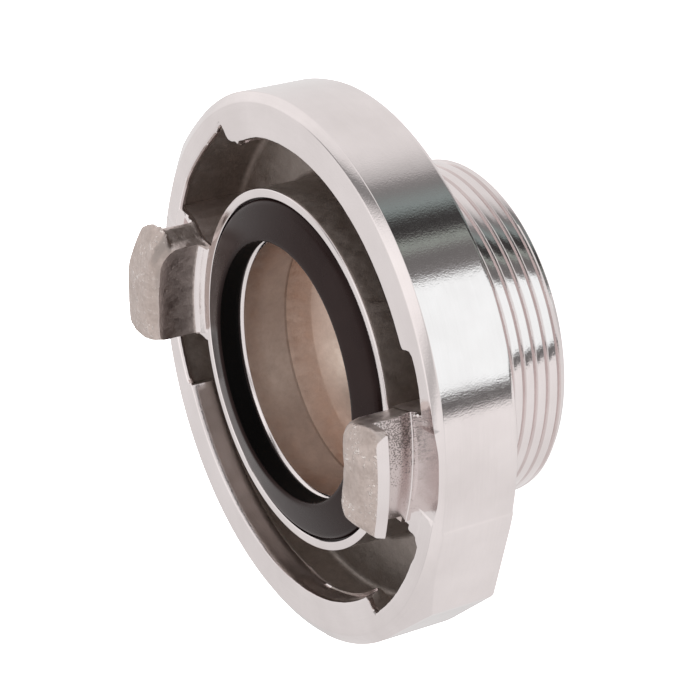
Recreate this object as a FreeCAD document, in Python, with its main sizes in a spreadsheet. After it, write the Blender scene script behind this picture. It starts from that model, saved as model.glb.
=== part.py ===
import FreeCAD, Part
import math
import os
import Sketcher
from FreeCAD import Placement, Rotation, Vector

# Fixed lug coupling for a 2 inch pipe line: one forged and turned body with two claws, and
# the rubber seal ring that lies in its front face.
# Frame: millimetres, +Z along the waterway from the threaded stub to the claws, origin at the
# centre of the stub's end face, claws along X.

doc = FreeCAD.newDocument("storz_coupling")

# ---------------------------------------------------------------- driving dimensions
sheet = doc.addObject("Spreadsheet::Sheet", "Dims")
ROWS = [
    ("stub_rad", 29.807),       # G2 thread, major radius
    ("stub_end_chamfer", 0.8),
    ("stub_top", 13.2),         # where the stub runs into the back wall
    ("back_root_rad", 31.4),
    ("back_root_z", 14.5),
    ("back_rim_rad", 46.9),
    ("back_rim_z", 21.4),
    ("collar_rad", 47.58),
    ("collar_rear_z", 22.35),
    ("collar_chamfer_z", 35.16),
    ("face_rad", 46.0),         # outer edge of the flat front face
    ("face_z", 36.2),           # front face of collar and lips
    ("undercut_rad", 43.0),     # outer wall of the channel, behind the lips
    ("channel_floor_z", 23.0),
    ("channel_fillet", 1.4),
    ("neck_rad", 31.28),        # outside of the inner ring
    ("ring_z", 35.6),           # front face of the inner ring
    ("lip_rad", 40.1),
    ("lip_rear_z", 31.0),
    ("lip_edge_rad", 39.2),     # the lip's inner wall leans in a little towards its rear
    ("lip_a_from", 29.1),
    ("lip_a_sweep", 104.4),
    ("lip_b_from", 210.5),
    ("lip_b_sweep", 94.0),
    ("ramp_rise", 2.2),         # the lip's rear face rises towards the entry slot
    ("ramp_length", 26.0),
    ("claw_a_turn", -1.8),
    ("claw_b_turn", 182.5),
    ("claw_a_low_v", -9.0),
    ("claw_a_high_v", 9.3),
    ("claw_b_low_v", -9.8),
    ("claw_b_high_v", 7.9),
    ("claw_foot_rad", 34.1),    # the inner ring's face ends here, at the claw
    ("claw_inner_rad", 33.6),
    ("claw_tip_rad", 32.6),     # the inner face leans in towards the tip
    ("claw_crest_rad", 38.5),
    ("claw_outer_rad", 42.93),
    ("claw_top_z", 45.8),
    ("claw_neck_rad", 38.0),
    ("claw_hook_z", 42.4),
    ("web_low_v", -12.0),
    ("web_a_high_v", 9.5),
    ("web_b_high_v", 10.4),     # the web's side towards the slot slants
    ("web_a_root_v", 9.3),
    ("web_b_root_v", 6.4),
    ("web_end_x", 43.6),
    ("web_foot_z", 22.0),
    ("face_groove_rad", 38.2),
    ("face_groove_z", 35.2),
    ("face_recess_z", 35.85),
    ("recess_from", -12.5),     # shallow turned recess in the face beside each claw
    ("recess_sweep", 24.0),
    ("lug_rad", 47.82),
    ("lug_peak_rad", 49.8),
    ("lug_flat_x", 45.88),
    ("lug_flat_v", 13.42),
    ("lug_a_from", -74.0),
    ("lug_b_from", 106.0),
    ("lug_sweep", 66.5),
    ("lug_peak_a", -29.0),
    ("lug_peak_b", 151.0),
    ("lug_rear_z", 21.6),
    ("seal_mouth_rad", 29.7),
    ("seal_groove_rad", 30.3),
    ("seam_turn", 82.0),        # where full turnings begin, clear of every edge
    ("seal_seat_z", 33.1),
    ("seal_groove_top_z", 34.9),
    ("bore_rad", 22.4),
    ("bore_step_z", 24.2),
    ("throat_rad", 21.2),
    ("throat_z", 19.4),
    ("stub_bore_rad", 24.2),
    ("stub_bore_z", 9.0),
    ("seal_hole_rad", 22.6),
    ("seal_front_z", 37.5),
    ("seal_crest_rad", 28.6),
    ("seal_crest_z", 36.0),
    ("seal_flange_rad", 30.1),
    ("seal_flange_z", 34.75),
    ("seal_body_rad", 29.0),
]
D = {}
for row, (word, value) in enumerate(ROWS, start=1):
    sheet.set("A%d" % row, word)
    sheet.set("B%d" % row, str(value))
    sheet.setAlias("B%d" % row, word)
    D[word] = value
doc.recompute()


def val(e):
    """value of an expression written with plain alias words: sums and differences only"""
    total, sign = 0.0, 1.0
    for token in e.replace("+", " + ").replace(" - ", " minus ").split():
        if token == "+":
            sign = 1.0
        elif token == "minus":
            sign = -1.0
        else:
            total += sign * (D[token] if token in D else float(token))
            sign = 1.0
    return total


def bound(e):
    """the same expression in the document's own form"""
    out = []
    for token in e.replace("+", " + ").replace(" - ", " minus ").split():
        if token == "+":
            out.append("+")
        elif token == "minus":
            out.append("-")
        else:
            out.append("Dims." + token if token in D else token)
    return " ".join(out)


def role_plane(body, role):
    for f in body.Origin.OriginFeatures:
        if f.Role == role:
            return f
    raise RuntimeError("no plane " + role)


def outline(sk, points):
    """a closed outline whose corners are tied to the sheet; points are pairs of expressions"""
    n = len(points)
    xy = [(val(a), val(b)) for a, b in points]
    for i in range(n):
        p, q = xy[i], xy[(i + 1) % n]
        sk.addGeometry(Part.LineSegment(Vector(p[0], p[1], 0), Vector(q[0], q[1], 0)), False)
    for i in range(n):
        sk.addConstraint(Sketcher.Constraint("Coincident", i, 2, (i + 1) % n, 1))
    for i, (a, b) in enumerate(points):
        for kind, e, v in (("DistanceX", a, xy[i][0]), ("DistanceY", b, xy[i][1])):
            if abs(v) < 1e-9:
                ref = ("PointOnObject", i, 1, -2) if kind == "DistanceX" else ("PointOnObject", i, 1, -1)
                sk.addConstraint(Sketcher.Constraint(*ref))
                continue
            k = sk.addConstraint(Sketcher.Constraint(kind, -1, 1, i, 1, v))
            sk.setExpression("Constraints[%d]" % k, bound(e))


def section(body, name, points, turn=None):
    """an outline in the plane through the axis; x is the radius and y the height"""
    sk = body.newObject("Sketcher::SketchObject", name)
    sk.AttachmentSupport = [(role_plane(body, "XZ_Plane"), "")]
    sk.MapMode = "FlatFace"
    outline(sk, points)
    if turn:
        sk.AttachmentOffset = Placement(Vector(0, 0, 0), Rotation(Vector(0, 1, 0), val(turn)))
        sk.setExpression("AttachmentOffset.Rotation.Angle", "(%s) * 1 deg" % bound(turn))
    return sk


def revolved(body, name, sk, sweep=None):
    r = body.newObject("PartDesign::Revolution", name)
    r.Profile = sk
    r.ReferenceAxis = (sk, ["V_Axis"])
    if sweep:
        r.Angle = val(sweep)
        r.setExpression("Angle", "(%s) * 1 deg" % bound(sweep))
    else:
        r.Angle = 360.0
    return r


def plan(body, name, points, height, turn):
    """an outline across the axis at a height, turned about the axis"""
    sk = body.newObject("Sketcher::SketchObject", name)
    sk.AttachmentSupport = [(role_plane(body, "XY_Plane"), "")]
    sk.MapMode = "FlatFace"
    outline(sk, points)
    sk.AttachmentOffset = Placement(Vector(0, 0, val(height)), Rotation(Vector(0, 0, 1), val(turn)))
    sk.setExpression("AttachmentOffset.Rotation.Angle", "(%s) * 1 deg" % bound(turn))
    sk.setExpression("AttachmentOffset.Base.z", "(%s) * 1 mm" % bound(height))
    return sk


def padded(body, name, sk, length):
    p = body.newObject("PartDesign::Pad", name)
    p.Profile = sk
    p.Length = val(length)
    p.setExpression("Length", "(%s) * 1 mm" % bound(length))
    return p


def new_body(name):
    b = doc.addObject("PartDesign::Body", name)
    return b


def tidy(doc):
    doc.recompute()
    for o in doc.Objects:
        bad = [s for s in o.State if s in ("Invalid", "Error")]
        if bad:
            raise RuntimeError("%s is %s" % (o.Name, bad))


# ---------------------------------------------------------------- turned blank
# Stub, back wall, collar wall and inner ring, with the open channel between the two walls.
blank = new_body("turned_blank")
sk = section(blank, "blank_section", [
    ("0", "0"),
    ("stub_rad - stub_end_chamfer", "0"),
    ("stub_rad", "stub_end_chamfer"),
    ("stub_rad", "stub_top"),
    ("back_root_rad", "back_root_z"),
    ("back_rim_rad", "back_rim_z"),
    ("collar_rad", "collar_rear_z"),
    ("collar_rad", "face_z"),
    ("undercut_rad", "face_z"),
    ("undercut_rad", "channel_floor_z"),
    ("neck_rad", "channel_floor_z"),
    ("neck_rad", "ring_z"),
    ("0", "ring_z"),
], turn="seam_turn")
rev = revolved(blank, "blank_turned", sk)
tidy(doc)


def edges_where(shape, test):
    names = []
    for i, e in enumerate(shape.Edges, start=1):
        c = e.BoundBox
        if test(e, c):
            names.append("Edge%d" % i)
    return names


# soft corners at the foot of the channel, left by the forging die
foot = edges_where(rev.Shape, lambda e, c: abs(c.ZMin - D["channel_floor_z"]) < 1e-3 and abs(c.ZMax - D["channel_floor_z"]) < 1e-3)
fil = blank.newObject("PartDesign::Fillet", "channel_foot")
fil.Base = (rev, foot)
fil.Radius = D["channel_fillet"]
fil.setExpression("Radius", "Dims.channel_fillet * 1 mm")
tidy(doc)


# ---------------------------------------------------------------- bayonet lips
def lip(name, start, sweep, ramp_turn):
    b = new_body(name)
    s = section(b, name + "_section", [
        ("lip_edge_rad", "lip_rear_z"),
        ("undercut_rad + 1.2", "lip_rear_z"),
        ("undercut_rad + 1.2", "face_z"),
        ("lip_rad", "face_z"),
        ("lip_rad", "face_z - 1.6"),
    ], turn=start)
    r = revolved(b, name + "_turned", s, sweep)
    tidy(doc)
    # the clamping ramp on the rear face, towards the slot where the partner's claw enters
    w = b.newObject("Sketcher::SketchObject", name + "_ramp_section")
    w.AttachmentSupport = [(role_plane(b, "XZ_Plane"), "")]
    w.MapMode = "FlatFace"
    outline(w, [
        ("14.5", "lip_rear_z - 1"),
        ("14.5", "lip_rear_z"),
        ("14.5 + ramp_length", "lip_rear_z + ramp_rise"),
        ("16.5 + ramp_length", "lip_rear_z + ramp_rise + 0.3"),
        ("16.5 + ramp_length", "lip_rear_z - 1"),
    ])
    w.AttachmentOffset = Placement(Vector(0, 0, 0), Rotation(Vector(0, 1, 0), ramp_turn))
    p = b.newObject("PartDesign::Pocket", name + "_ramp")
    p.Profile = w
    p.Midplane = True
    p.Length = 76.0
    before = r.Shape.Volume
    tidy(doc)
    if not (before - p.Shape.Volume > 50.0):
        raise RuntimeError(name + " ramp cuts nothing")
    return b


lip_a = lip("lip_a", "lip_a_from", "lip_a_sweep", 160.0)
lip_b = lip("lip_b", "lip_b_from", "lip_b_sweep", 331.0)


# ---------------------------------------------------------------- claws and the webs they stand on
def claw(name, turn, low, high, root, outer):
    b = new_body(name)
    web_plan = plan(b, name + "_web_plan", [
        ("24", "web_low_v"),
        ("web_end_x", "web_low_v"),
        ("web_end_x", outer),
        ("30.3", root),
        ("24", root),
    ], "web_foot_z", turn)
    web = padded(b, name + "_web", web_plan, "face_z - web_foot_z")
    claw_plan = plan(b, name + "_plan", [
        ("30", low),
        ("46", low),
        ("46", high),
        ("30", high),
    ], "face_z - 1", turn)
    up = padded(b, name + "_block", claw_plan, "claw_top_z - face_z + 1")
    tidy(doc)
    # inner face, hook and neck are turned, one outline for all the metal round the claw
    g = section(b, name + "_turning", [
        ("20", "ring_z"),
        ("claw_foot_rad", "ring_z"),
        ("claw_inner_rad", "ring_z + 0.8"),
        ("claw_tip_rad", "claw_top_z - 2.5"),
        ("claw_tip_rad + 0.6", "claw_top_z - 0.9"),
        ("claw_tip_rad + 2", "claw_top_z"),
        ("claw_tip_rad + 2", "claw_top_z + 4"),
        ("20", "claw_top_z + 4"),
    ], turn=turn + " + seam_turn")
    c1 = b.newObject("PartDesign::Groove", name + "_inner_face")
    c1.Profile = g
    c1.ReferenceAxis = (g, ["V_Axis"])
    c1.Angle = 360.0
    g2 = section(b, name + "_hook_turning", [
        ("claw_neck_rad", "face_z - 0.4"),
        ("face_groove_rad", "face_groove_z"),
        ("lip_rad - 0.1", "face_groove_z"),
        ("lip_rad - 0.1", "face_z"),
        ("60", "face_z"),
        ("60", "claw_top_z + 4"),
        ("claw_crest_rad", "claw_top_z + 4"),
        ("claw_crest_rad", "claw_top_z"),
        ("claw_outer_rad", "claw_top_z - 1.1"),
        ("claw_outer_rad", "claw_hook_z"),
        ("claw_neck_rad", "claw_hook_z"),
    ], turn=turn + " + seam_turn")
    c2 = b.newObject("PartDesign::Groove", name + "_hook")
    c2.Profile = g2
    c2.ReferenceAxis = (g2, ["V_Axis"])
    c2.Angle = 360.0
    v0 = up.Shape.Volume
    tidy(doc)
    if not (v0 - c2.Shape.Volume > 500.0):
        raise RuntimeError(name + " turning cuts nothing")
    # rounded flank corners at the tip
    top = edges_where(c2.Shape, lambda e, c: c.ZMin > D["claw_top_z"] - 1.15 and 3.0 < e.Length < 6.0)
    f = b.newObject("PartDesign::Fillet", name + "_tip")
    f.Base = (c2, top)
    f.Radius = 1.2
    tidy(doc)
    return b


claw_a = claw("claw_a", "claw_a_turn", "claw_a_low_v", "claw_a_high_v", "web_a_root_v", "web_a_high_v")
claw_b = claw("claw_b", "claw_b_turn", "claw_b_low_v", "claw_b_high_v", "web_b_root_v", "web_b_high_v")


# ---------------------------------------------------------------- spanner lugs on the collar
def lug(name, start, peak):
    b = new_body(name)
    s = section(b, name + "_land_section", [
        ("undercut_rad + 2", "back_rim_z + 0.3"),
        ("lug_rad", "back_rim_z + 1.2"),
        ("lug_rad", "face_z"),
        ("undercut_rad + 2", "face_z"),
    ], turn=start)
    revolved(b, name + "_land", s, "lug_sweep")
    k = plan(b, name + "_peak_plan", [
        ("lug_peak_rad", "0"),
        ("lug_flat_x", "lug_flat_v"),
        ("undercut_rad + 1.6", "0"),
        ("lug_flat_x", "0 - lug_flat_v"),
    ], "lug_rear_z", peak)
    padded(b, name + "_peak", k, "face_z - lug_rear_z")
    tidy(doc)
    return b


lug_a = lug("lug_a", "lug_a_from", "lug_peak_a")
lug_b = lug("lug_b", "lug_b_from", "lug_peak_b")

# ---------------------------------------------------------------- joined forging
forging = doc.addObject("Part::MultiFuse", "forging")
forging.Shapes = [blank, lip_a, lip_b, claw_a, claw_b, lug_a, lug_b]
tidy(doc)

# ---------------------------------------------------------------- turning: waterway, seal seat, front chamfer
cuts = new_body("waterway_turning")
sk = section(cuts, "waterway_section", [
    ("0", "0 - 2"),
    ("stub_bore_rad", "0 - 2"),
    ("stub_bore_rad", "stub_bore_z"),
    ("throat_rad", "stub_bore_z + 5.2"),
    ("throat_rad", "throat_z"),
    ("bore_rad", "bore_step_z"),
    ("bore_rad", "seal_seat_z"),
    ("seal_groove_rad", "seal_seat_z"),
    ("seal_groove_rad", "seal_groove_top_z"),
    ("seal_mouth_rad", "seal_groove_top_z"),
    ("seal_mouth_rad", "ring_z"),
    ("claw_foot_rad", "ring_z"),
    ("claw_foot_rad", "ring_z + 0.3"),
    ("0", "ring_z + 0.3"),
], turn="seam_turn")
revolved(cuts, "waterway", sk)
chamfer = new_body("chamfer_turning")
sk = section(chamfer, "chamfer_section", [
    ("face_rad", "face_z"),
    ("face_rad + 6", "face_z - 3.949"),
    ("face_rad + 6", "face_z + 2"),
    ("face_rad", "face_z + 2"),
], turn="seam_turn")
revolved(chamfer, "front_chamfer", sk)


def recess(name, turn):
    b = new_body(name)
    s = section(b, name + "_section", [
        ("lip_rad - 0.1", "face_recess_z"),
        ("face_rad + 0.2", "face_recess_z"),
        ("face_rad + 0.2", "face_z + 0.5"),
        ("lip_rad - 0.1", "face_z + 0.5"),
    ], turn=turn)
    revolved(b, name + "_turned", s, "recess_sweep")
    return b


recess_a = recess("face_recess_a", "claw_a_turn + recess_from")
recess_b = recess("face_recess_b", "claw_b_turn + recess_from")
tools = doc.addObject("Part::MultiFuse", "turning_tools")
tools.Shapes = [chamfer, recess_a, recess_b]
tidy(doc)
rough = doc.addObject("Part::Cut", "bored")
rough.Base = forging
rough.Tool = cuts
coupling_body = doc.addObject("Part::Cut", "coupling_body")
coupling_body.Base = rough
coupling_body.Tool = tools
coupling_body.Refine = True
coupling_body.Label = "coupling_body"
coupling_body.Placement = Placement(Vector(0, 0, 0), Rotation())
tidy(doc)

# ---------------------------------------------------------------- seal ring
seal = new_body("seal_ring")
sk = section(seal, "seal_section", [
    ("seal_hole_rad", "seal_seat_z"),
    ("seal_flange_rad", "seal_seat_z"),
    ("seal_flange_rad", "seal_flange_z"),
    ("seal_body_rad", "seal_flange_z"),
    ("seal_body_rad", "seal_crest_z - 0.4"),
    ("seal_crest_rad", "seal_crest_z"),
    ("seal_hole_rad + 0.5", "seal_front_z"),
    ("seal_hole_rad", "seal_front_z - 0.4"),
], turn="seam_turn")
revolved(seal, "seal_moulded", sk)
seal.Label = "seal_ring"
seal.Placement = Placement(Vector(0, 0, 0), Rotation())
tidy(doc)

# ---------------------------------------------------------------- output
os.makedirs("parts", exist_ok=True)
for node in (coupling_body, seal):
    shape = node.Shape
    if shape.isNull() or not shape.isValid() or len(shape.Solids) != 1:
        raise RuntimeError("%s: null %s valid %s solids %d" % (node.Label, shape.isNull(), shape.isValid(), len(shape.Solids)))
    print(node.Label, "volume", round(shape.Volume, 1), "faces", len(shape.Faces), "box", shape.BoundBox)
    shape.exportStep(os.path.join("parts", node.Label + ".step"))
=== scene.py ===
import math

import bmesh
import bpy
import numpy as np
from mathutils import Matrix, Vector


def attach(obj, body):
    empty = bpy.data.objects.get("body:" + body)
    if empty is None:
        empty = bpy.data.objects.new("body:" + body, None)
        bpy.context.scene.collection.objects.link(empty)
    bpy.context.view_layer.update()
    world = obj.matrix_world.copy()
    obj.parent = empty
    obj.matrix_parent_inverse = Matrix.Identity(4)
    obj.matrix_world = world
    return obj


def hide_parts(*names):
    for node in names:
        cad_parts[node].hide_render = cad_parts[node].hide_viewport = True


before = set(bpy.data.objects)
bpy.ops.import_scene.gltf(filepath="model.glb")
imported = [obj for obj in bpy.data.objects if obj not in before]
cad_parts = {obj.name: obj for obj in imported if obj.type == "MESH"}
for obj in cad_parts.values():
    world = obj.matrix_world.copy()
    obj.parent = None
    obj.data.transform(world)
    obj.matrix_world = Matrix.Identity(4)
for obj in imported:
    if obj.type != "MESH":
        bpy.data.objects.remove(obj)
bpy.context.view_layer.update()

scene = bpy.context.scene
MM = 0.001

# ------------------------------------------------------------------ small helpers


def wrap(a):
    return (np.asarray(a, float) + 180.0) % 360.0 - 180.0


def around(table, phi):
    """value against angle, in degrees, joined up round the full turn"""
    t = sorted((float(wrap(a)), b) for a, b in table)
    a = [x for x, _ in t]
    b = [y for _, y in t]
    a = [a[-1] - 360.0] + a + [a[0] + 360.0]
    b = [b[-1]] + b + [b[0]]
    return np.interp(wrap(phi), a, b)


def ease(x, a, b):
    t = np.clip((x - a) / (b - a), 0.0, 1.0)
    return t * t * (3.0 - 2.0 * t)


def ripple(phi, seed, freqs):
    """repeatable roughness round the axis, about -1 to 1"""
    g = np.random.default_rng(seed)
    out = np.zeros_like(phi)
    for f in freqs:
        out += np.sin(np.radians(phi) * f + g.uniform(0, 6.28)) * g.uniform(0.5, 1.0)
    return out / (0.75 * math.sqrt(len(freqs)) * 1.6)


def mesh_object(name, verts, faces):
    me = bpy.data.meshes.new(name)
    me.from_pydata([tuple(map(float, v)) for v in verts], [], faces)
    me.update()
    ob = bpy.data.objects.new(name, me)
    scene.collection.objects.link(ob)
    return ob


def tidy(ob, dist):
    bm = bmesh.new()
    bm.from_mesh(ob.data)
    bmesh.ops.remove_doubles(bm, verts=bm.verts, dist=dist)
    bmesh.ops.dissolve_degenerate(bm, edges=bm.edges, dist=dist * 0.5)
    bmesh.ops.recalc_face_normals(bm, faces=bm.faces)
    if bm.calc_volume(signed=True) < 0:
        bmesh.ops.reverse_faces(bm, faces=bm.faces)
    bm.to_mesh(ob.data)
    bm.free()


# ------------------------------------------------------------------ turned body, in millimetres
LIPS = ((29.1, 133.5, 160.0), (210.5, 304.5, 331.0))
LUGS = ((-74.0, -29.0), (106.0, 151.0))
TURN_A, TURN_B = -1.8, 182.5

cols = set(np.round(np.arange(0.0, 360.0, 1.2), 3))
for centre in (29.1, 133.5, 210.5, 304.5):
    for d in np.linspace(-0.6, 0.6, 9):
        cols.add(round((centre + d) % 360.0, 3))
for centre in (-74.0, -7.5, 106.0, 172.5, -29.0, 151.0, -45.3, -12.7, 134.7, 167.3):
    for d in (-0.35, -0.12, 0.0, 0.12, 0.35):
        cols.add(round((centre + d) % 360.0, 3))
for a, b, n in ((-69.0, -48.0, 36), (14.0, 29.0, 16), (130.0, 137.0, 12), (-162.0, -148.0, 14), (158.0, 167.0, 10)):
    for d in np.linspace(a, b, n):
        cols.add(round(float(d) % 360.0, 3))
cols = sorted(cols)
keep = [cols[0]]
for c in cols[1:]:
    if c - keep[-1] > 0.07:
        keep.append(c)
PHI = np.array(keep)
NC = len(PHI)


def outer_radius(phi):
    r = np.full_like(phi, 47.57)
    for start, ridge in LUGS:
        d = wrap(phi - start)
        first = 0.12 if start > 0 else 14.0
        r = np.maximum(r, 47.57 + 0.24 * ease(d, -0.1, first) * (1.0 - ease(d, 65.6, 66.6)) * (d > -1))
        e = np.radians(wrap(phi - ridge))
        kite = 668.32 / (13.42 * np.cos(e) + 3.92 * np.abs(np.sin(e)))
        r = np.where(np.abs(e) < math.radians(16.5), np.maximum(r, np.minimum(kite, 49.72)), r)
    return r


def lip_share(phi):
    out = np.zeros_like(phi)
    for a, b, _ in LIPS:
        d = wrap(phi - (a + b) / 2.0)
        h = (b - a) / 2.0
        out = np.maximum(out, 1.0 - ease(np.abs(d), h - 0.22, h + 0.22))
    return out


def ramp(phi, r):
    """the lip's rear face rises towards the entry slot"""
    out = np.zeros_like(phi)
    for a, b, turn in LIPS:
        x = r * np.cos(np.radians(phi - turn))
        inside = np.abs(wrap(phi - (a + b) / 2.0)) < (b - a) / 2.0 + 1.0
        out = np.where(inside, np.clip((x - 14.5) / 26.0, 0.0, 1.0) * 2.2, out)
    return out


RIM = [(-19.1, 42.0), (-24, 42.2), (-31, 42.4), (-38, 42.25), (-44, 42.3), (-49.4, 42.6), (-51.5, 42.75), (-53.0, 43.2),
       (-54.4, 43.3), (-55.4, 43.15), (-56.1, 42.05), (-56.6, 40.6), (-58.4, 39.95), (-60.4, 39.75), (-61.3, 39.1),
       (-62.2, 39.6), (-64.5, 39.6), (-68.4, 39.85), (-72, 40.05), (-76, 40.1), (-110, 40.1), (-140, 40.1), (-148.6, 40.15),
       (-149.4, 40.45), (-149.9, 41.8), (-150.5, 42.5), (-153.6, 42.75), (-158.2, 42.7), (-163, 42.5), (-170, 42.4), (177, 42.4),
       (170, 42.3), (165.5, 42.0), (164.5, 43.06), (161.4, 43.16), (158.3, 42.9), (151.5, 43.0), (140, 43.1), (134.3, 43.2),
       (133.7, 42.3), (133.3, 40.7), (132.6, 40.1), (128, 40.1), (90, 40.1), (60, 40.1), (31, 40.1), (29.3, 40.3), (28.9, 40.9),
       (27.8, 41.35), (25, 41.6), (21, 41.9), (17.5, 42.1), (12, 42.2), (0, 42.2), (-12, 42.1)]

R_OUT = outer_radius(PHI)
LIP = lip_share(PHI)
fine = ripple(PHI, 3, (23, 37, 51, 71, 97, 131))
rough = ripple(PHI, 5, (31, 53, 83, 119, 157))
R_RIM = around(RIM, PHI) + (1.0 - LIP) * 0.055 * rough + LIP * 0.035 * fine
RISE = ramp(PHI, 41.0)
Z_CH = 36.2 - (R_OUT - 46.0) * 0.6582
one = np.ones(NC)


def mix(slot, lip):
    return slot * (1.0 - LIP) + lip * LIP


rows = []


def row(r, z):
    rows.append((r * one, z * one))


row(29.55, 12.45)
row(29.72, 12.95)
row(30.1, 13.5)
row(31.4, 14.5)
row(37.0, 16.99)
row(42.5, 19.44)
row(46.2, 21.09)
row(46.75, 21.36)
row(R_OUT - 0.42, 21.62)
row(R_OUT - 0.14, 21.86)
row(R_OUT, 22.3)
row(R_OUT, 22.42)
row(R_OUT, 24.6)
row(R_OUT, 27.4)
row(R_OUT, 30.2)
row(R_OUT, np.minimum(32.6, Z_CH - 0.3))
row(R_OUT, Z_CH - 0.16)
row(R_OUT, Z_CH - 0.1)
row(R_OUT - 0.04, Z_CH + 0.0)
row(R_OUT - 0.14, Z_CH + 0.09)
row(46.16, 36.2 - 0.16 * 0.6582)
row(46.02, 36.165)
row(45.85, 36.2)
row(45.0, 36.2)
row(44.0, 36.2)
row(np.maximum(R_RIM + mix(0.75, 0.5), 40.7), 36.2)
row(R_RIM + mix(0.5, 0.2), 36.2)
row(R_RIM + mix(0.2, 0.07), mix(36.08, 36.15))
row(R_RIM + mix(0.03, 0.0), mix(35.8, 36.0))
lean = 39.2
row(mix(R_RIM + 0.02, R_RIM - 0.12), mix(35.35, 35.2))
row(mix(np.maximum(R_RIM, 42.4) + 0.45, 39.75), mix(35.1, 34.2))
row(mix(43.02, 39.5), mix(34.6, 33.2))
row(mix(43.0, 39.3), mix(34.0, 32.5) + RISE * LIP * 0.6)
row(mix(43.0, 39.28), mix(33.3, 32.0) + RISE * LIP)
row(mix(43.0, 39.42), mix(32.6, 31.55) + RISE * LIP)
row(mix(43.0, 39.75), mix(32.0, 31.2) + RISE * LIP)
row(mix(43.0, 40.2), mix(31.5, 31.04) + RISE * LIP)
row(mix(43.0, 40.8), mix(31.0, 31.0) + RISE * LIP)
row(mix(43.0, 42.0), mix(30.5, 31.0) + RISE * LIP)
row(mix(43.0, 42.8), mix(30.0, 31.0) + RISE * LIP)
row(43.0, mix(29.0, 30.7) + RISE * LIP * 0.95)
row(43.0, 27.6)
row(43.0, 24.4)
row(42.89, 23.87)
row(42.59, 23.41)
row(42.14, 23.11)
row(41.6, 23.0)
row(37.2, 23.0)
row(32.68, 23.0)
row(32.14, 23.11)
row(31.69, 23.41)
row(31.39, 23.87)
row(31.28, 24.4)
row(31.28, 29.5)
row(31.28, 34.9)
row(31.28, 35.38)
row(31.22, 35.52)
row(31.08, 35.6)
row(30.6, 35.6)
row(29.95, 35.6)
row(29.8, 35.56)
row(29.7, 35.44)
row(29.7, 34.9)
row(30.3, 34.9)
row(30.3, 33.1)
row(26.0, 33.1)
row(22.95, 33.1)
row(22.86, 33.06)
row(22.44, 32.62)
row(22.4, 32.5)
row(22.4, 28.6)
row(22.4, 24.5)
row(22.38, 24.3)
row(22.28, 24.05)
row(21.7, 21.6)
row(21.28, 19.75)
row(21.2, 19.4)
row(21.2, 14.2)
row(24.2, 9.0)
row(24.2, 0.45)
row(24.32, 0.14)
row(24.6, 0.0)
row(28.9, 0.0)
row(29.25, 0.05)
row(29.45, 0.28)

NR = len(rows)
ca, sa = np.cos(np.radians(PHI)), np.sin(np.radians(PHI))
verts = []
for r, z in rows:
    verts.append(np.c_[r * ca, r * sa, z])
verts = np.concatenate(verts)
faces = []
for k in range(NR - 1):
    for j in range(NC):
        n = (j + 1) % NC
        faces.append((k * NC + j, k * NC + n, (k + 1) * NC + n, (k + 1) * NC + j))

# the helical thread, 11 turns to the inch: its rows follow the helix and end on the rows above and below
PITCH = 2.309
SHAPE = [(0.00, 0.86), (0.07, 0.46), (0.13, 0.13), (0.19, 0.0), (0.44, 0.0), (0.72, 0.0), (0.82, 0.10), (0.88, 0.42), (0.94, 0.80)]
Z0, Z1 = 0.28, 12.45
PER = len(SHAPE)
turns = int(math.ceil((Z1 - Z0) / PITCH)) + 2
NT = turns * PER + 1
tz = np.zeros((NT, NC))
tr = np.zeros((NT, NC))
for i in range(NT):
    f, depth = SHAPE[i % PER]
    z = Z0 + (i // PER - 2 + f) * PITCH + PITCH * PHI / 360.0
    end_low = ease(z, Z0 - 0.2, Z0 + 1.15)
    end_high = 1.0 - ease(z, Z1 - 1.5, Z1 + 0.1)
    base = np.interp(z, [Z0, Z0 + 0.3, Z1 - 0.6, Z1], [29.45, 29.85, 29.85, 29.55])
    r = base - depth * end_high * (0.35 + 0.65 * end_low)
    tz[i] = np.clip(z, Z0, Z1)
    tr[i] = np.where(z <= Z0, 29.45, np.where(z >= Z1, 29.55, r))
base_id = len(verts)
tv = np.concatenate([np.c_[tr[i] * ca, tr[i] * sa, tz[i]] for i in range(NT)])
verts = np.concatenate([verts, tv])
for i in range(NT - 1):
    for j in range(NC - 1):
        a = base_id + i * NC
        b = a + NC
        faces.append((a + j, b + j, b + j + 1, a + j + 1))
    # across the seam a row meets the one a full turn higher
    k0 = min(i + PER, NT - 1)
    k1 = min(i + 1 + PER, NT - 1)
    a, b = base_id + i * NC + NC - 1, base_id + (i + 1) * NC + NC - 1
    c, d = base_id + k1 * NC, base_id + k0 * NC
    faces.append((a, b, c, d) if c != d else (a, b, c))
# the seam's lowest rows, below the first full turn
for i in range(PER):
    a, b = base_id + i * NC, base_id + (i + 1) * NC
    low = base_id + NC - 1
    faces.append((low, a, b))

body = mesh_object("coupling_body_visual", verts, faces)
tidy(body, 0.004)


def open_edges(ob):
    bm = bmesh.new()
    bm.from_mesh(ob.data)
    n = sum(1 for e in bm.edges if not e.is_manifold)
    v = bm.calc_volume(signed=True)
    bm.free()
    return n, v


print("turned body", len(body.data.polygons), open_edges(body))

# ------------------------------------------------------------------ forged claws and webs


def smax(a, b, k):
    h = np.maximum(k - np.abs(a - b), 0.0) / k
    return np.maximum(a, b) + h * h * k * 0.25


def smin(a, b, k):
    return -smax(-a, -b, k)


def forging(P, seed, amp):
    g = np.random.default_rng(seed)
    out = np.zeros(P.shape[:-1])
    for w in (5.2, 4.1, 3.3, 2.6, 2.1, 1.7, 1.4, 1.2):
        d = g.normal(size=3)
        d /= np.linalg.norm(d)
        out += np.sin((P @ d) * 6.283 / w + g.uniform(0, 6.28)) * (w / 5.2) ** 0.7
    return out * amp * 0.45


def blob(P, c, radii):
    q = (P - np.array(c)) / np.array(radii)
    return (np.linalg.norm(q, axis=-1) - 1.0) * min(radii)


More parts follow.
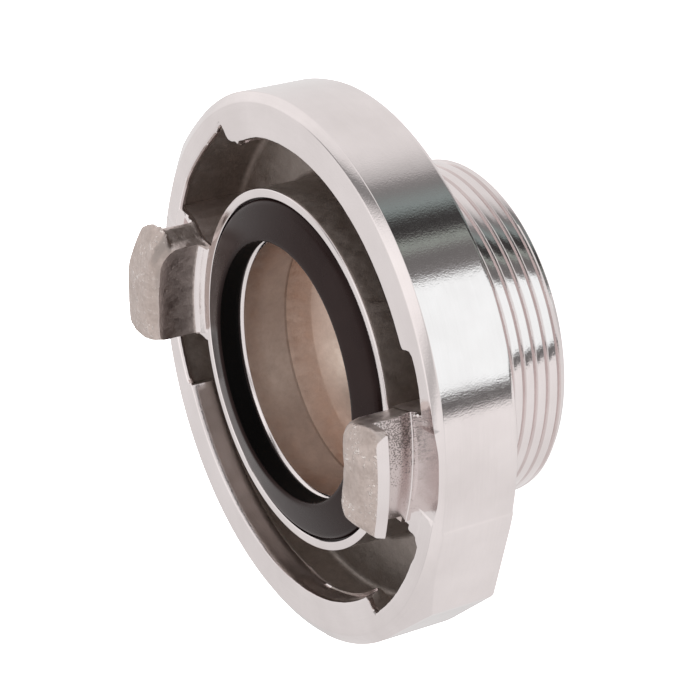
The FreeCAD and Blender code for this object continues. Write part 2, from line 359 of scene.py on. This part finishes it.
def bevel(P, point, normal):
    n = np.array(normal, float)
    n /= np.linalg.norm(n)
    return (P - np.array(point)) @ n


def claw_field(P, which):
    u, v, z = P[..., 0], P[..., 1], P[..., 2]
    r = np.hypot(u, v)
    skin = forging(P, 11 if which == "a" else 12, 0.045)
    inner = np.interp(z, [35.6, 36.4, 43.3, 47.0], [31.25, 31.6, 31.9, 31.9] if which == "a" else [31.25, 31.9, 32.6, 32.1]) - r
    outer = r - 43.7
    top = (z - np.interp(r, [31.0, 34.6, 38.5, 42.93, 44.5], [45.8, 45.75, 45.65, 44.95, 44.6] if which == "a" else [45.8, 45.75, 45.6, 44.7, 44.3])) * 0.98
    if which == "a":
        neck = np.interp(u, [31.5, 33.3, 36.3, 38.0], [-9.5, -9.9, -11.9, -12.5])
        head = np.interp(u, [31.6, 32.6, 33.5, 35.5, 37.6, 39.6, 41.8, 43.2], [-8.9, -9.8, -12.0, -12.4, -12.2, -11.3, -10.0, -9.1])
        head = head + np.interp(z, [42.5, 43.4, 45.8], [0.0, 0.9, 3.7])
        share = ease(z, 41.5, 42.4)
        low = neck * (1.0 - share) + head * share
        high = np.interp(u, [31.5, 33.0, 35.4, 39.4, 42.2], [7.9, 8.45, 9.2, 9.7, 9.6]) + np.interp(z, [36.0, 43.0, 46.0], [0.3, 0.2, -0.1])
    else:
        low = np.interp(z, [36.0, 42.35, 44.4, 46.0], [-10.0, -9.8, -9.0, -8.6])
        high = np.interp(u, [30.3, 31.7, 34.4, 36.7, 38.5, 42.0], [6.6, 7.1, 7.75, 8.4, 8.9, 9.1]) + np.interp(z, [42.5, 44.5, 45.8], [0.0, 0.05, -0.6])
    block = smax(top, inner, 3.2)
    block = smax(block, low - v, 0.7)
    block = smax(block, v - high, 0.9)
    block = np.maximum(block, outer)
    if which == "a":
        block = smax(block, bevel(P, (42.2, -2.9, 45.0), (0.208, -0.294, 0.933)), 0.45)
        block = smax(block, bevel(P, (42.75, 8.7, 44.0), (0.80, 0.60, 0.08)), 1.0)
    else:
        block = smax(block, bevel(P, (36.2, 5.0, 45.65), (-0.10, 0.36, 0.93)), 0.5)
        block = smax(block, bevel(P, (33.4, 7.2, 45.2), (-0.75, 0.45, 0.48)), 0.8)
        block = smax(block, bevel(P, (33.1, -7.2, 45.6), (-0.664, -0.747, 0.18)), 0.8)
        block = smax(block, bevel(P, (41.9, 8.2, 44.0), (0.55, 0.75, 0.36)), 0.5)
    block = np.maximum(block, np.minimum(r - 38.1, 42.38 - z))
    block = np.maximum(np.maximum(block, 33.0 - z) + skin, z - 45.77)
    # the web under the claw, between the inner ring and the collar wall
    tops = np.minimum(z - 35.58, np.maximum(z - 36.15, 34.3 - r))
    if which == "a":
        wlo = np.interp(u, [29.5, 33.3, 36.3, 38.0, 41.0], [-9.9, -10.0, -11.9, -12.4, -12.7])
        whi = np.interp(u, [30, 43], [9.4, 9.7])
    else:
        wlo = np.interp(u, [30, 36.0, 38.5, 41.0], [-11.4, -11.4, -11.7, -12.3])
        whi = np.interp(u, [30.3, 31.7, 34.4, 36.7, 42.0], [6.5, 7.0, 7.75, 8.5, 10.4])
    sides = smax(wlo - v, v - whi, 0.5) + skin * 0.8
    web = smax(tops, sides, 0.35)
    web = np.maximum(np.maximum(web, 30.6 - r), np.maximum(r - 44.6, 21.9 - z))
    return smin(block, web, 0.25)


def nets(field, lo, hi, step):
    """closed quad surface where the field is zero"""
    ax = [np.arange(lo[i], hi[i] + step, step) for i in range(3)]
    G = np.stack(np.meshgrid(*ax, indexing="ij"), -1)
    F = field(G)
    shape = np.array(F.shape)
    cell = shape - 1
    acc = np.zeros((*cell, 3))
    cnt = np.zeros(cell)
    inside = F < 0
    crossing = []
    for a in range(3):
        s0 = [slice(None)] * 3
        s1 = [slice(None)] * 3
        s0[a] = slice(0, -1)
        s1[a] = slice(1, None)
        f0, f1 = F[tuple(s0)], F[tuple(s1)]
        m = inside[tuple(s0)] != inside[tuple(s1)]
        t = np.where(m, f0 / np.where(m, f0 - f1, 1.0), 0.0)
        p = G[tuple(s0)].copy()
        p[..., a] += t * step
        crossing.append(m)
        others = [i for i in range(3) if i != a]
        for db in (0, 1):
            for dc in (0, 1):
                sl = [slice(None)] * 3
                sl[others[0]] = slice(db, shape[others[0]] - 1 + db)
                sl[others[1]] = slice(dc, shape[others[1]] - 1 + dc)
                acc += p[tuple(sl)] * m[tuple(sl)][..., None]
                cnt += m[tuple(sl)]
    used = cnt > 0
    idx = -np.ones(cell, int)
    idx[used] = np.arange(used.sum())
    pts = acc[used] / cnt[used][:, None]
    quads = []
    for a in range(3):
        b, c = [i for i in range(3) if i != a]
        ii = np.argwhere(crossing[a])
        ok = (ii[:, b] > 0) & (ii[:, c] > 0) & (ii[:, b] < cell[b]) & (ii[:, c] < cell[c])
        ii = ii[ok]
        eb, ec = np.zeros(3, int), np.zeros(3, int)
        eb[b] = 1
        ec[c] = 1
        q = [idx[tuple((ii - eb - ec).T)], idx[tuple((ii - ec).T)], idx[tuple(ii.T)], idx[tuple((ii - eb).T)]]
        q = np.stack(q, 1)
        flip = inside[tuple(ii.T)] ^ (a == 1)
        q[flip] = q[flip][:, ::-1]
        quads.append(q)
    quads = np.concatenate(quads)
    # settle the points on the surface
    for _ in range(2):
        f = field(pts)
        g = np.zeros_like(pts)
        for a in range(3):
            e = np.zeros(3)
            e[a] = 0.03
            g[:, a] = (field(pts + e) - field(pts - e)) / 0.06
        n2 = np.maximum((g * g).sum(1), 0.25)
        move = -(f / n2)[:, None] * g
        ln = np.linalg.norm(move, axis=1)
        move *= np.minimum(1.0, 0.35 * step / np.maximum(ln, 1e-9))[:, None]
        pts = pts + move
    return pts, quads


def turned_to(points, turn):
    c, s = math.cos(math.radians(turn)), math.sin(math.radians(turn))
    return np.c_[points[:, 0] * c - points[:, 1] * s, points[:, 0] * s + points[:, 1] * c, points[:, 2]]


def claw(name, which, turn):
    pts, quads = nets(lambda P: claw_field(P, which), (26.9, -14.4, 21.1), (46.0, 13.2, 47.4), 0.43)
    ob = mesh_object(name, turned_to(pts, turn), quads.tolist())
    tidy(ob, 0.001)
    print(name, len(ob.data.polygons), open_edges(ob))
    return ob


def sector(name, outline, a, b, n, fade=0.0):
    """a closed piece of a turned ring, as a cutting tool; its floor may fade out at both ends"""
    ang = np.radians(np.linspace(a, b, n))
    m = len(outline)
    vs, fs = [], []
    for t in ang:
        edge = min(t - ang[0], ang[-1] - t)
        lift = 0.36 * (1.0 - float(ease(edge, 0.0, math.radians(fade)))) if fade else 0.0
        for r, z in outline:
            vs.append((r * math.cos(t), r * math.sin(t), z + (lift if z < 36.0 else 0.0)))
    for i in range(n - 1):
        for k in range(m):
            q = (k + 1) % m
            fs.append((i * m + k, i * m + q, (i + 1) * m + q, (i + 1) * m + k))
    fs.append(tuple(range(m)))
    fs.append(tuple((n - 1) * m + k for k in reversed(range(m))))
    ob = mesh_object(name, vs, fs)
    tidy(ob, 0.0005)
    return ob


def combine(target, tool, operation):
    mod = target.modifiers.new("join", "BOOLEAN")
    mod.operation = operation
    mod.object = tool
    mod.solver = "MANIFOLD"
    dg = bpy.context.evaluated_depsgraph_get()
    me = bpy.data.meshes.new_from_object(target.evaluated_get(dg))
    target.modifiers.clear()
    old = target.data
    target.data = me
    bpy.data.meshes.remove(old)
    bpy.data.objects.remove(tool)


claw_a = claw("claw_a_forging", "a", TURN_A)
claw_b = claw("claw_b_forging", "b", TURN_B)
combine(body, claw_a, "UNION")
combine(body, claw_b, "UNION")
HOOK = [(38.0, 42.15), (38.0, 35.35), (38.12, 35.2), (40.0, 35.2), (40.1, 35.3), (40.1, 36.215), (60.0, 36.215), (60.0, 52.0),
        (42.85, 52.0), (42.93, 44.6), (42.93, 42.52), (42.81, 42.4), (38.25, 42.4)]
FOOT = [(30.9, 35.62), (31.36, 35.62), (31.6, 35.79), (32.25, 36.17), (32.75, 36.5), (33.0, 36.85), (33.12, 37.35), (33.12, 39.0), (33.02, 41.2),
        (32.82, 42.8), (32.55, 43.7), (32.2, 44.35), (30.9, 44.35)]
RECESS = [(40.1, 35.86), (46.6, 35.84), (46.6, 37.5), (40.1, 37.5)]
for turn, a, b in ((TURN_A, -14.0, 13.0), (TURN_B, -11.5, 14.0)):
    combine(body, sector("foot_turning", FOOT, turn - 21.0, turn + 19.5, 60), "DIFFERENCE")
    combine(body, sector("hook_turning", HOOK, turn - (16.9 if turn == TURN_A else 17.6), turn + 14.6, 60), "DIFFERENCE")
    combine(body, sector("face_turning", RECESS, turn + a, turn + b, 60, 9.0), "DIFFERENCE")
print("body with claws", len(body.data.polygons), open_edges(body))

# ------------------------------------------------------------------ materials by place on the body, some carrying painted light and shade
me = body.data
nf = len(me.polygons)
cen = np.zeros(nf * 3)
nor = np.zeros(nf * 3)
me.polygons.foreach_get("center", cen)
me.polygons.foreach_get("normal", nor)
cen = cen.reshape(-1, 3)
nor = nor.reshape(-1, 3)
fr = np.hypot(cen[:, 0], cen[:, 1])
fz = cen[:, 2]
fphi = np.degrees(np.arctan2(cen[:, 1], cen[:, 0]))
near_claw = np.minimum(np.abs(wrap(fphi - TURN_A)), np.abs(wrap(fphi - TURN_B))) < 20.0
radial = (cen[:, 0] * nor[:, 0] + cen[:, 1] * nor[:, 1]) / np.maximum(fr, 1e-6)
mat = np.zeros(nf, int)
# the channel walls get the darker channel metal; its darker tone is partly painted shade in the deep channel
wall = (fr > 31.2) & (fr < 43.4) & (fz > 22.9) & (fz < 35.15)
lip_wall = wall & (fr < 40.05) & (fr > 39.0) & (fz > 31.9) & (radial < -0.7)
mat[wall & ~lip_wall] = 1
forged = near_claw & (fr > 31.4) & (fr < 44.0) & (fz > 35.62)
neck = forged & (np.abs(fr - 38.0) < 0.16) & (radial > 0.9) & (fz < 42.45)
hook = forged & (np.abs(fz - 42.4) < 0.14) & (nor[:, 2] < -0.8)
land = forged & (np.abs(fr - 42.9) < 0.12) & (radial > 0.9) & (fz > 42.3)
face = (fz < 36.24) & (fr > 37.9) & (fz > 35.1)
mat[forged & ~neck & ~hook & ~land & ~face] = 2
mat[near_claw & face & (nor[:, 2] > 0.5)] = 0
side = np.abs(wrap(fphi - TURN_A)) < 20.0
across = fr * np.sin(np.radians(np.where(side, fphi - TURN_A, fphi - TURN_B)))
# painted light and shade: the web flanks take a paler tone than the shaded channel, and the upward-facing web tops the
# same darker tone as the flanks
mat[near_claw & wall & (np.abs(radial) < 0.5) & (nor[:, 2] < 0.5)] = 5
mat[forged & (nor[:, 2] > 0.7) & (fz < 37.3) & (fr < 38.2)] = 5
mat[near_claw & (fr > 31.2) & (fr < 32.98) & (fz > 35.3) & (fz < 36.8) & (across > -9.0) & (across < 9.7)] = 0
mat[neck & ~side] = 6
mat[(fr < 22.9) & (fz > 24.15) & (fz < 32.55)] = 3
# the throat gets a paler copy of the bore metal: painted light in part, where light comes in through the stub's open
# end
mat[(fr < 24.0) & (fz > 9.0) & (fz < 24.15)] = 7
MATS = mat


def finish_mesh(ob, angle):
    ob.data.transform(Matrix.Scale(MM, 4))
    ob.data.shade_smooth()
    ob.data.set_sharp_from_angle(angle=math.radians(angle))
    ob.data.update()


# ------------------------------------------------------------------ materials


class Graph:
    def __init__(self, name):
        self.m = bpy.data.materials.new(name)
        self.m.use_nodes = True
        self.t = self.m.node_tree
        self.b = self.t.nodes["Principled BSDF"]
        self.coord = self.t.nodes.new("ShaderNodeTexCoord").outputs["Object"]

    def node(self, kind, **sets):
        n = self.t.nodes.new(kind)
        for k, v in sets.items():
            setattr(n, k, v)
        return n

    def link(self, a, b):
        self.t.links.new(a, b)

    def math(self, op, a, b=None, clamp=False):
        n = self.node("ShaderNodeMath", operation=op, use_clamp=clamp)
        for i, x in enumerate((a, b)):
            if x is None:
                continue
            if isinstance(x, (int, float)):
                n.inputs[i].default_value = x
            else:
                self.link(x, n.inputs[i])
        return n.outputs[0]

    def noise(self, vec, scale, detail=2.0, rough=0.5):
        n = self.node("ShaderNodeTexNoise")
        n.inputs["Scale"].default_value = scale
        n.inputs["Detail"].default_value = detail
        n.inputs["Roughness"].default_value = rough
        self.link(vec, n.inputs["Vector"])
        return n.outputs["Fac"]

    def ramp(self, fac, stops):
        n = self.node("ShaderNodeValToRGB")
        el = n.color_ramp.elements
        while len(el) > 1:
            el.remove(el[-1])
        el[0].position = stops[0][0]
        el[0].color = (*stops[0][1], 1.0)
        for p, c in stops[1:]:
            e = el.new(p)
            e.color = (*c, 1.0)
        self.link(fac, n.inputs["Fac"])
        return n.outputs["Color"]

    def span(self, x, a, b, c, d):
        n = self.node("ShaderNodeMapRange")
        self.link(x, n.inputs["Value"])
        for k, v in zip(("From Min", "From Max", "To Min", "To Max"), (a, b, c, d)):
            n.inputs[k].default_value = v
        return n.outputs["Result"]

    def lathe_coord(self, sr, sz, sphi=0.0):
        s = self.node("ShaderNodeSeparateXYZ")
        self.link(self.coord, s.inputs[0])
        r = self.math("SQRT", self.math("ADD", self.math("MULTIPLY", s.outputs[0], s.outputs[0]), self.math("MULTIPLY", s.outputs[1], s.outputs[1])))
        c = self.node("ShaderNodeCombineXYZ")
        self.link(self.math("MULTIPLY", r, sr), c.inputs[0])
        self.link(self.math("MULTIPLY", s.outputs[2], sz), c.inputs[1])
        if sphi:
            self.link(self.math("MULTIPLY", self.math("ARCTAN2", s.outputs[1], s.outputs[0]), sphi), c.inputs[2])
        return c.outputs[0]

    def bump(self, height, strength, distance, normal=None):
        n = self.node("ShaderNodeBump")
        n.inputs["Strength"].default_value = strength
        n.inputs["Distance"].default_value = distance
        self.link(height, n.inputs["Height"])
        if normal is not None:
            self.link(normal, n.inputs["Normal"])
        return n.outputs["Normal"]

    def set(self, **values):
        for k, v in values.items():
            k = k.replace("_", " ")
            if isinstance(v, (int, float)):
                self.b.inputs[k].default_value = v
            elif isinstance(v, tuple):
                self.b.inputs[k].default_value = (*v, 1.0)
            else:
                self.link(v, self.b.inputs[k])
        return self


def turned_material(name, low, high, rough_low, rough_high, groove, aniso):
    g = Graph(name)
    lath = g.lathe_coord(1000.0, 1000.0, 1.2)
    marks = g.noise(lath, 3.2, 3.0, 0.65)
    cloud = g.noise(g.coord, 90.0, 3.0, 0.55)
    fleck = g.noise(g.coord, 1100.0, 2.0, 0.6)
    grain = g.noise(g.coord, 3400.0, 2.0, 0.55)
    tone = g.math("ADD", g.math("MULTIPLY", cloud, 0.8), g.math("MULTIPLY", marks, 0.2))
    g.set(Base_Color=g.ramp(tone, [(0.3, low), (0.68, high)]), Metallic=1.0, Anisotropic=aniso, Anisotropic_Rotation=0.25,
          Roughness=g.span(fleck, 0.35, 0.65, rough_low, rough_high))
    tg = g.node("ShaderNodeTangent", direction_type="RADIAL", axis="Z")
    g.link(tg.outputs[0], g.b.inputs["Tangent"])
    height = g.math("ADD", g.math("MULTIPLY", marks, 0.35), g.math("ADD", g.math("MULTIPLY", grain, 2.4), g.math("MULTIPLY", fleck, 0.25)))
    g.set(Normal=g.bump(height, groove, 0.000008))
    return g.m


def forged_material(name, low, high, rough, relief, glint=0.0):
    g = Graph(name)
    cloud = g.noise(g.coord, 210.0, 4.0, 0.6)
    grain = g.noise(g.coord, 1500.0, 3.0, 0.6)
    pits = g.noise(g.coord, 520.0, 4.0, 0.65)
    base = g.ramp(g.math("ADD", g.math("MULTIPLY", cloud, 0.6), g.math("MULTIPLY", grain, 0.4)), [(0.33, low), (0.66, high)])
    if glint:
        # painted light and shade by facing: upright sides are mixed towards a paler tone, inward-facing sides towards a
        # darker one (painted shade and reflection of the dark seal and bore)
        face = g.node("ShaderNodeSeparateXYZ")
        g.link(g.node("ShaderNodeNewGeometry").outputs["Normal"], face.inputs[0])
        place = g.node("ShaderNodeSeparateXYZ")
        g.link(g.coord, place.inputs[0])
        r = g.math("SQRT", g.math("ADD", g.math("MULTIPLY", place.outputs[0], place.outputs[0]), g.math("MULTIPLY", place.outputs[1], place.outputs[1])))
        out = g.math("DIVIDE", g.math("ADD", g.math("MULTIPLY", place.outputs[0], face.outputs[0]), g.math("MULTIPLY", place.outputs[1], face.outputs[1])), r)
        upright = g.span(face.outputs[2], 0.22, 0.55, 1.0, 0.0)
        top_side = g.math("SUBTRACT", 1.0, upright)
        inward_shade = g.math("MULTIPLY", g.span(out, -0.9, -0.6, 1.0, 0.0), upright)
        # painted shade: the left claw's rounded corner between inner face and flank is painted darker than both, picked
        # out by position and facing
        corner_shade = g.math("MULTIPLY", g.span(out, -0.97, -0.80, 0.0, 0.85), g.span(out, -0.34, -0.12, 1.0, 0.0))
        corner_shade = g.math("MULTIPLY", corner_shade, g.span(place.outputs[0], -0.01, 0.01, 0.0, 1.0))
        corner_shade = g.math("MULTIPLY", g.math("MULTIPLY", corner_shade, g.span(place.outputs[1], -0.0045, -0.001, 1.0, 0.0)), g.span(face.outputs[2], 0.45, 0.8, 1.0, 0.0))
        for share, tone in ((g.math("MULTIPLY", upright, 0.85), (0.78, 0.70, 0.67, 1.0)), (inward_shade, (0.55, 0.475, 0.445, 1.0)),
                            (corner_shade, (0.40, 0.345, 0.32, 1.0))):
            n = g.node("ShaderNodeMixRGB")
            g.link(share, n.inputs["Fac"])
            g.link(base, n.inputs["Color1"])
            n.inputs["Color2"].default_value = tone
            base = n.outputs["Color"]
    g.set(Metallic=1.0)
    rough_out = g.span(pits, 0.3, 0.72, rough + 0.1, rough - 0.12)
    height = g.math("ADD", g.math("MULTIPLY", pits, 1.0), g.math("MULTIPLY", grain, 0.55))
    if glint:
        spots = g.span(g.noise(g.coord, 1700.0, 1.0, 0.5), 0.585, 0.66, 0.0, 1.0)
        spots = g.math("MULTIPLY", g.math("MULTIPLY", spots, top_side), g.span(cloud, 0.45, 0.6, 0.0, 1.0))
        rough_out = g.math("SUBTRACT", rough_out, g.math("MULTIPLY", spots, glint))
        height = g.math("ADD", height, g.math("MULTIPLY", spots, 1.1))
        # painted highlight: the glint spots are also mixed towards near-white in the base colour
        n = g.node("ShaderNodeMixRGB")
        g.link(g.math("MULTIPLY", spots, 0.55), n.inputs["Fac"])
        g.link(base, n.inputs["Color1"])
        n.inputs["Color2"].default_value = (0.98, 0.92, 0.88, 1.0)
        base = n.outputs["Color"]
    g.set(Base_Color=base)
    g.set(Roughness=rough_out)
    g.set(Normal=g.bump(height, relief, 0.00016))
    return g.m


def chatter_material(name):
    """turned neck with broken, sparkling tool marks towards one end"""
    g = Graph(name)
    s = g.node("ShaderNodeSeparateXYZ")
    g.link(g.coord, s.inputs[0])
    dots = g.noise(g.coord, 4300.0, 0.0, 0.5)
    patch = g.noise(g.coord, 420.0, 2.0, 0.5)
    bare = g.span(s.outputs[1], -0.0060, 0.0035, 0.0, 0.30)
    fac = g.math("ADD", g.math("ADD", dots, bare), g.math("MULTIPLY", g.math("SUBTRACT", patch, 0.5), 0.35))
    g.set(Base_Color=g.ramp(fac, [(0.46, (0.33, 0.30, 0.29)), (0.56, (0.80, 0.745, 0.735))]), Metallic=1.0, Roughness=0.26)
    g.set(Normal=g.bump(dots, 0.5, 0.00002))
    return g.m


turned = turned_material("turned_aluminium", (0.78, 0.722, 0.715), (0.865, 0.805, 0.80), 0.085, 0.13, 0.5, 0.5)
# darker metal for the channel walls, partly painted shade in the deep channel
channel_mat = forged_material("channel_metal", (0.36, 0.315, 0.285), (0.48, 0.425, 0.395), 0.50, 0.30)
# the claw metal carries painted light and shade by facing, a painted dark corner and painted glints
claw_mat = forged_material("blasted_forging", (0.46, 0.385, 0.35), (0.66, 0.565, 0.525), 0.40, 0.75, 0.26)
bore_mat = forged_material("bore_metal", (0.41, 0.32, 0.272), (0.49, 0.385, 0.33), 0.46, 0.08)
# paler copy of the bore metal for the throat, partly painted light entering through the stub's open end
throat_mat = forged_material("throat_metal", (0.68, 0.525, 0.445), (0.81, 0.64, 0.545), 0.42, 0.08)
# one tone for web flanks and web tops: painted light on the flanks, painted shade on the tops
flank_mat = forged_material("web_flank", (0.53, 0.455, 0.43), (0.67, 0.59, 0.56), 0.48, 0.2)
neck_mat = chatter_material("neck_metal")

body.data.materials.clear()
for m in (turned, channel_mat, claw_mat, bore_mat, channel_mat, flank_mat, neck_mat, throat_mat):
    body.data.materials.append(m)
body.data.polygons.foreach_set("material_index", MATS.astype(np.int32))
finish_mesh(body, 29.0)

# ------------------------------------------------------------------ seal ring
SEAL = [(22.9, 33.1), (25.0, 33.1), (30.1, 33.1), (30.1, 34.75), (29.45, 34.75), (29.45, 35.0), (29.3, 35.35), (29.12, 35.62), (28.9, 35.86),
        (28.6, 36.02), (28.2, 36.16), (26.8, 36.52), (25.4, 36.9), (24.2, 37.2), (23.5, 37.38), (23.15, 37.44), (22.9, 37.42), (22.7, 37.28),
        (22.6, 37.05), (22.58, 36.6), (22.62, 35.4), (22.6, 34.2), (22.66, 33.5)]
n = 288
sv, sf = [], []
for i in range(n):
    t = 2 * math.pi * i / n
    wave = 0.05 * math.sin(2 * t + 0.7) + 0.03 * math.sin(5 * t + 2.0)
    for r, z in SEAL:
        lift = wave if z > 35.2 else 0.0
        sv.append((r * math.cos(t), r * math.sin(t), z + lift * min(1.0, (z - 35.0) / 1.5)))
m = len(SEAL)
for i in range(n):
    q = (i + 1) % n
    for k in range(m):
        p = (k + 1) % m
        sf.append((i * m + k, q * m + k, q * m + p, i * m + p))
seal = mesh_object("seal_ring_visual", sv, sf)
tidy(seal, 0.0005)
print("seal", open_edges(seal))
g = Graph("black_rubber")
skin = g.noise(g.coord, 1400.0, 3.0, 0.6)
dust = g.noise(g.coord, 160.0, 4.0, 0.6)
g.set(Base_Color=g.ramp(dust, [(0.35, (0.008, 0.0035, 0.0032)), (0.7, (0.011, 0.0055, 0.005))]), Metallic=0.0, Specular_IOR_Level=0.15,
      Specular_Tint=(1.0, 0.86, 0.85), Roughness=g.span(dust, 0.3, 0.7, 0.24, 0.33), Normal=g.bump(skin, 0.10, 0.00004))
seal.data.materials.append(g.m)
# a darker, duller copy of the rubber for the seal's inner wall: painted shade inside the bore
g = Graph("black_rubber_bore")
g.set(Base_Color=(0.0012, 0.001, 0.001), Metallic=0.0, Specular_IOR_Level=0.07, Roughness=0.6)
seal.data.materials.append(g.m)
for f in seal.data.polygons:
    c = f.center
    if math.hypot(c[0], c[1]) < 22.72 and c[2] < 37.0:
        f.material_index = 1
finish_mesh(seal, 40.0)

for piece, node, slot in ((body, "coupling_body", "aluminium"), (seal, "seal_ring", "rubber")):
    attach(piece, "root")
    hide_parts(node)

# ------------------------------------------------------------------ studio: pale floor, soft surroundings
floor = mesh_object("floor", [(-6, -6, -0.0004), (6, -6, -0.0004), (6, 6, -0.0004), (-6, 6, -0.0004)], [(0, 1, 2, 3)])
fm = bpy.data.materials.new("floor_white")
fm.use_nodes = True
fb = fm.node_tree.nodes["Principled BSDF"]
fb.inputs["Base Color"].default_value = (0.93, 0.93, 0.93, 1.0)
fb.inputs["Roughness"].default_value = 1.0
fb.inputs["Specular IOR Level"].default_value = 0.0
floor.data.materials.append(fm)
fb.inputs["Emission Color"].default_value = (1.0, 1.0, 1.0, 1.0)
fb.inputs["Emission Strength"].default_value = 0.8
floor.visible_glossy = False

world = bpy.data.worlds.new("studio")
scene.world = world
world.use_nodes = True
wt = world.node_tree
bg = wt.nodes["Background"]
tc = wt.nodes.new("ShaderNodeTexCoord")
sep = wt.nodes.new("ShaderNodeSeparateXYZ")
wt.links.new(tc.outputs["Generated"], sep.inputs[0])


def wmath(op, a, b=None):
    n = wt.nodes.new("ShaderNodeMath")
    n.operation = op
    for i, x in enumerate((a, b)):
        if x is None:
            continue
        if isinstance(x, (int, float)):
            n.inputs[i].default_value = x
        else:
            wt.links.new(x, n.inputs[i])
    return n.outputs[0]


azimuth = wmath("ADD", wmath("DIVIDE", wmath("ARCTAN2", sep.outputs[1], sep.outputs[0]), 2 * math.pi), 0.5)
# brightness of the studio round the object, by direction in degrees: cards and gaps between soft panels
CARDS = [(-180.0, 0.16), (-173.0, 0.17), (-172.3, (1.09, 1.165, 1.175)), (-126.6, (1.09, 1.165, 1.175)), (-126.0, 0.24), (-121.5, 0.19),
         (-116.5, 0.17), (-114.0, 0.20), (-112.6, (0.34, 0.39, 0.355)), (-109.6, (0.30, 0.335, 0.31)), (-108.0, 0.10), (-105.5, 0.045), (-99.5, 0.05),
         (-97.0, (0.16, 0.185, 0.18)), (-94.0, (0.27, 0.325, 0.32)), (-90.0, (0.24, 0.27, 0.265)), (-85.5, 0.22), (-81.2, 0.30), (-80.0, 0.46),
         (-74.0, 0.64), (-68.0, 0.79), (-60.0, 0.86), (-20.0, 0.86), (20.0, 0.82), (30.0, 0.66), (46.0, 0.66), (58.0, 0.82), (150.0, 0.87),
         (172.0, 0.93), (178.8, 0.98), (179.4, 0.16)]
SKY = [(-180.0, 0.84), (-60.0, 0.88), (-26.0, 0.98), (-4.0, 0.98), (12.0, 0.85), (32.0, 0.80), (50.0, 0.75), (90.0, 0.80), (120.0, 0.84), (179.9, 0.84)]
OVERHEAD = [(-1.0, 0.86), (-0.42, 0.90), (-0.29, 0.95), (-0.24, 0.74), (-0.20, 0.56), (-0.13, 0.60), (-0.08, 0.78), (0.03, 1.08), (0.30, 1.10), (0.40, 0.95),
            (0.455, 0.62), (0.50, 0.26), (0.57, 0.24), (0.60, 0.55), (0.66, 0.84), (1.0, 0.86)]


def card_ramp(fac, table, a, b):
    node = wt.nodes.new("ShaderNodeValToRGB")
    el = node.color_ramp.elements
    while len(el) > 1:
        el.remove(el[-1])
    for i, (x, v) in enumerate(table):
        p = (x - a) / (b - a)
        e = el[0] if i == 0 else el.new(p)
        e.position = p
        e.color = (*v, 1.0) if isinstance(v, tuple) else (v, v * 0.985, v * 0.98, 1.0)
    wt.links.new(fac, node.inputs["Fac"])
    return node.outputs["Color"]


def rise(x, a, b):
    node = wt.nodes.new("ShaderNodeMapRange")
    wt.links.new(x, node.inputs["Value"])
    for k, v in zip(("From Min", "From Max", "To Min", "To Max"), (a, b, 0.0, 1.0)):
        node.inputs[k].default_value = v
    return node.outputs["Result"]


def blended(fac, a, b):
    node = wt.nodes.new("ShaderNodeMixRGB")
    wt.links.new(fac, node.inputs["Fac"])
    wt.links.new(a, node.inputs["Color1"])
    wt.links.new(b, node.inputs["Color2"])
    return node.outputs["Color"]


low = card_ramp(azimuth, CARDS, -180.0, 180.0)
sky = card_ramp(azimuth, SKY, -180.0, 180.0)
along = wmath("SUBTRACT", wmath("MULTIPLY", sep.outputs[0], 0.75), wmath("MULTIPLY", sep.outputs[1], 0.66))
overhead = card_ramp(wmath("MULTIPLY", wmath("ADD", along, 1.0), 0.5), OVERHEAD, -1.0, 1.0)
surround = blended(rise(sep.outputs[2], -0.04, 0.10), low, sky)
surround = blended(rise(sep.outputs[2], 0.60, 0.72), surround, overhead)
wt.links.new(surround, bg.inputs["Color"])
bg.inputs["Strength"].default_value = 1.0


def panel(name, location, target, size, energy):
    d = bpy.data.lights.new(name, "AREA")
    d.shape = "RECTANGLE"
    d.size, d.size_y = size
    d.energy = energy
    o = bpy.data.objects.new(name, d)
    o.location = location
    o.rotation_euler = (Vector(target) - Vector(location)).to_track_quat("-Z", "Y").to_euler()
    scene.collection.objects.link(o)
    o.visible_glossy = False
    return o


panel("key", (0.55, -0.35, 0.75), (0, 0, 0.02), (0.5, 0.5), 5.0)
over = panel("over", (0.0, 0.0, 1.6), (0, 0, 0), (2.2, 2.2), 22.0)

cam = bpy.data.cameras.new("camera")
camera = bpy.data.objects.new("camera", cam)
scene.collection.objects.link(camera)
cam.sensor_width = 36.0
cam.sensor_fit = "HORIZONTAL"
cam.lens = 2554.327 / 700.0 * 36.0
cam.clip_start, cam.clip_end = 0.01, 20.0
camera.matrix_world = Matrix(((-0.51070915, 0.41629234, -0.75224787, -0.327972), (-0.03060457, -0.88320563, -0.4679863, -0.205232),
                              (-0.85920866, -0.21598266, 0.46380164, 0.226371), (0.0, 0.0, 0.0, 1.0)))
scene.camera = camera
scene.view_settings.view_transform = "Standard"

print("triangles", sum(len(p.vertices) - 2 for p in body.data.polygons))
